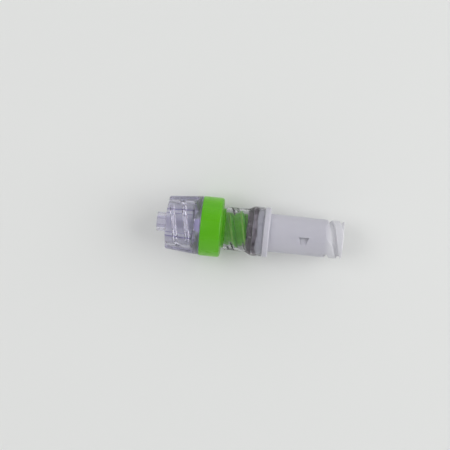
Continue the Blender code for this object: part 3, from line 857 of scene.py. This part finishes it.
def clear_grey():
    """Clear, faintly grey plastic with painted shade where its solid web lies: a dark, streaked
    and blotted band in its colour and a dark matt cover on the flare, and a little roughness in
    its cup.
    """
    finish = Finish("grey_clear_moulding")
    flow = finish.flow(scale=900)
    station = finish.station()
    away = finish.away()
    # Painted shade: a dark band with wandering edges where the solid web lies, mottled with
    # streaks and darker blots, standing in for the shade and inner reflections seen there.
    edge = station + (finish.noise(scale=330) - 0.5) * WEB_SHADE_WANDER
    web = finish.step(station, WEB_SHADE_RISE) * (1 - finish.step(edge, WEB_SHADE_EDGE))
    drawn_out = finish.noise(scale=520, detail=3.0, stretch=STREAK_STRETCH)
    shade_streaks = finish.step(drawn_out, SHADE_STREAKS)
    shade_blots = finish.step(finish.noise(scale=640), SHADE_BLOTS) * SHADE_BLOT_SHARE
    clear = finish.mix(flow, srgb(250, 250, 251), srgb(240, 241, 244))
    dark = finish.mix(shade_streaks, srgb(158, 153, 158), srgb(220, 215, 220))
    dark = finish.mix(shade_blots, dark, srgb(92, 87, 92))
    cup = finish.step(away, CUP_WALL) * finish.step(station, CUP_PART)
    finish.set(
        Base_Color=finish.mix(web, clear, dark),
        Roughness=0.04 + flow * 0.07 + cup * 0.4,
        IOR=1.2,
        Transmission_Weight=0.98,
    )
    finish.bump(finish.noise(scale=CLEAR_WAVES), distance=0.02 * MM, strength=0.35)
    finish.absorb(srgb(196, 195, 199), density=330)
    # Painted shade: a dark matt cover on the outside of the flare, over the front part of the
    # web.
    flare_shade = finish.band(station, FLARE_SHADE_PART) * finish.step(away, FLARE_SHADE_OUTSIDE)
    finish.cover(flare_shade * (FLARE_SHADE_SHARE + shade_streaks * FLARE_SHADE_STREAKS), srgb(124, 117, 124))
    return finish.owner


def green_plastic():
    """Translucent green plastic, glossy, with slow swirls, painted highlight and painted shade
    on the flanks of its thread, and painted shade on the ring's back edge.
    """
    finish = Finish("green_moulding")
    flow = finish.flow(scale=500)
    station = finish.station()
    neck = finish.step(station, NECK_PART)
    # Painted light on the neck's thread: a pale painted highlight on the side of each ridge
    # towards the tip, and a darker painted shade on its other side.
    ridge = finish.from_ridge(NECK_THREAD_MIDDLE)
    pale = finish.band(ridge, HIGHLIGHT_FLANK) * neck * HIGHLIGHT_FLANK_SHARE
    dark = finish.band(ridge, SHADE_FLANK) * neck * SHADE_FLANK_SHARE
    # Painted shade: darker green on the rounded edge of the ring that faces the neck.
    edge = finish.step(station, RING_SHADE_PART) * finish.step(finish.away(), RING_SHADE_OUTSIDE)
    green = finish.mix(flow, srgb(96, 183, 20), srgb(84, 171, 12))
    green = finish.mix(edge * RING_SHADE_SHARE, green, srgb(66, 140, 6))
    green = finish.mix(pale, green, srgb(165, 212, 110))
    finish.set(
        Base_Color=finish.mix(dark, green, srgb(48, 140, 4)),
        Roughness=0.22 + flow * 0.12,
        IOR=1.45,
        Specular_IOR_Level=0.35,
        Sheen_Weight=0.2,
        Sheen_Tint=(0.7, 1.0, 0.25, 1.0),
        Sheen_Roughness=0.5,
        Subsurface_Weight=0.25,
        Subsurface_Scale=0.6 * MM,
        Subsurface_Radius=(0.6, 1.0, 0.3),
    )
    finish.bump(finish.noise(scale=900), distance=0.015 * MM, strength=0.3)
    return finish.owner


def milky_plastic():
    """Milky lavender plastic with a fine matt grain, and painted highlights that make its
    flange a shade paler and its end paler still.
    """
    finish = Finish("lavender_moulding")
    cloud = finish.noise(scale=260, detail=3.0)
    grain = finish.noise(scale=9000)
    station = finish.station()
    # Painted highlight: a slightly paler colour on the flange and a strong one towards the
    # access end.
    pale = finish.step(station, FLANGE_HIGHLIGHT) * FLANGE_HIGHLIGHT_SHARE
    pale = pale + finish.step(station, END_HIGHLIGHT) * END_HIGHLIGHT_SHARE
    plain = finish.mix(cloud, srgb(196, 195, 204), srgb(186, 185, 195))
    finish.set(
        Base_Color=finish.mix(pale, plain, srgb(209, 209, 214)),
        Roughness=0.4 + grain * 0.16,
        IOR=1.5,
        Subsurface_Weight=0.45,
        Subsurface_Scale=1.2 * MM,
        Subsurface_Radius=(1.0, 0.95, 1.0),
    )
    finish.bump(grain, distance=0.004 * MM, strength=0.6)
    return finish.owner


def silicone(name, light, dark):
    """Milky silicone rubber with a satin surface."""
    finish = Finish(name)
    cloud = finish.noise(scale=500, detail=3.0)
    grain = finish.noise(scale=5000)
    finish.set(
        Base_Color=finish.mix(cloud, light, dark),
        Roughness=0.45 + grain * 0.15,
        IOR=1.42,
        Subsurface_Weight=0.4,
        Subsurface_Scale=1.0 * MM,
        Subsurface_Radius=(1.0, 1.0, 0.95),
    )
    finish.bump(grain, distance=0.004 * MM, strength=0.4)
    return finish.owner


def dress(made, node, material, body="shell"):
    """Gives a piece its material, the node that it replaces and its body."""
    made.data.materials.clear()
    made.data.materials.append(material)
    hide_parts(node)
    if body:
        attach(made, body)
    return made


# Camera, floor and light

VIEW_ANGLE = math.radians(16.2)
VIEW_DISTANCE = 330 * MM
VIEW_TILT = math.radians(2.0)
VIEW_ROLL = math.radians(6.0)
AIM = Vector((-5.3 * MM, 0.62 * MM, AXIS_HEIGHT))
NEAREST_SEEN = 10 * MM
FLOOR_HALF = 0.6
FLOOR_COLOUR = (0.74, 0.75, 0.735, 1.0)
FLOOR_GLOW = 0.06
HORIZON_COLOUR = (1.0, 1.0, 1.0)
OVERHEAD_COLOUR = (0.4, 0.4, 0.41)
OVERHEAD = (0.35, 0.9)
WORLD_LIGHT = 0.75


def make_camera():
    camera = bpy.data.objects.new("camera", bpy.data.cameras.new("camera"))
    bpy.context.scene.collection.objects.link(camera)
    camera.data.sensor_fit = "HORIZONTAL"
    camera.data.angle = VIEW_ANGLE
    camera.data.clip_start = NEAREST_SEEN
    out = Vector((math.sin(VIEW_TILT), 0, math.cos(VIEW_TILT)))
    up = Vector((-math.sin(VIEW_ROLL), math.cos(VIEW_ROLL), 0))
    right = up.cross(out).normalized()
    up = out.cross(right)
    turned = Matrix((right, up, out)).transposed().to_4x4()
    camera.matrix_world = Matrix.Translation(AIM + out * VIEW_DISTANCE) @ turned
    bpy.context.scene.camera = camera


def make_lamp(name, place, size, power):
    """A square area lamp that shines at the origin."""
    lamp = bpy.data.objects.new(name, bpy.data.lights.new(name, "AREA"))
    bpy.context.scene.collection.objects.link(lamp)
    lamp.data.shape = "SQUARE"
    lamp.data.size = size
    lamp.data.energy = power
    lamp.location = place
    lamp.rotation_euler = (-Vector(place)).to_track_quat("-Z", "Y").to_euler()


def seen_rays(graph):
    """1 for the rays that show the background: straight, in gloss or through clear plastic."""
    straight = graph.ray("Is Camera Ray")
    gloss = straight.math("MAXIMUM", straight, graph.ray("Is Glossy Ray"))
    return gloss.math("MAXIMUM", gloss, graph.ray("Is Transmission Ray"))


def make_floor():
    mesh = bpy.data.meshes.new("floor")
    half = FLOOR_HALF
    corners = [(-half, -half, 0), (half, -half, 0), (half, half, 0), (-half, half, 0)]
    mesh.from_pydata(corners, [], [(0, 1, 2, 3)])
    floor = bpy.data.objects.new("floor", mesh)
    bpy.context.scene.collection.objects.link(floor)
    finish = Finish("pale_floor")
    finish.set(
        Base_Color=FLOOR_COLOUR,
        Roughness=0.8,
        Emission_Color=(1.0, 1.0, 1.0, 1.0),
        Emission_Strength=seen_rays(finish) * FLOOR_GLOW,
    )
    floor.data.materials.append(finish.owner)


def make_world():
    """White round the horizon and grey overhead, and dimmer for the light that it gives."""
    world = bpy.data.worlds.new("studio")
    bpy.context.scene.world = world
    graph = Graph(world)
    direction = graph.add("ShaderNodeTexCoord", output="Generated")
    height = graph.add("ShaderNodeSeparateXYZ", None, {0: direction}, output="Z")
    colour = graph.mix(graph.step(height, OVERHEAD), HORIZON_COLOUR, OVERHEAD_COLOUR)
    background = graph.nodes["Background"].inputs
    graph.join(background["Color"], colour)
    graph.join(background["Strength"], seen_rays(graph) * (1 - WORLD_LIGHT) + WORLD_LIGHT)


bpy.context.scene.view_settings.view_transform = "Standard"

boot = silicone("septum_silicone_finish", srgb(234, 234, 240), srgb(226, 226, 233))
disc = silicone("valve_silicone_finish", srgb(228, 228, 226), srgb(214, 214, 212))

dress(make_valve_base(), "valve_base", clear_violet())
dress(make_valve_disc(), "valve_disc", disc)
dress(make_valve_cap(), "valve_cap", green_plastic())
dress(make_connector_base(), "connector_base", clear_grey())
dress(make_housing(), "housing", milky_plastic())
septum = dress(make_septum(), "septum", boot, body=None)
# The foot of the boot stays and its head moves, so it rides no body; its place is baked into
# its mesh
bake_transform(septum)

make_camera()
make_floor()
make_world()
make_lamp("key", place=(0.5, 0.09, 0.34), size=0.6, power=2.1)
make_lamp("fill", place=(-0.32, 0.03, 0.5), size=0.35, power=0.85)
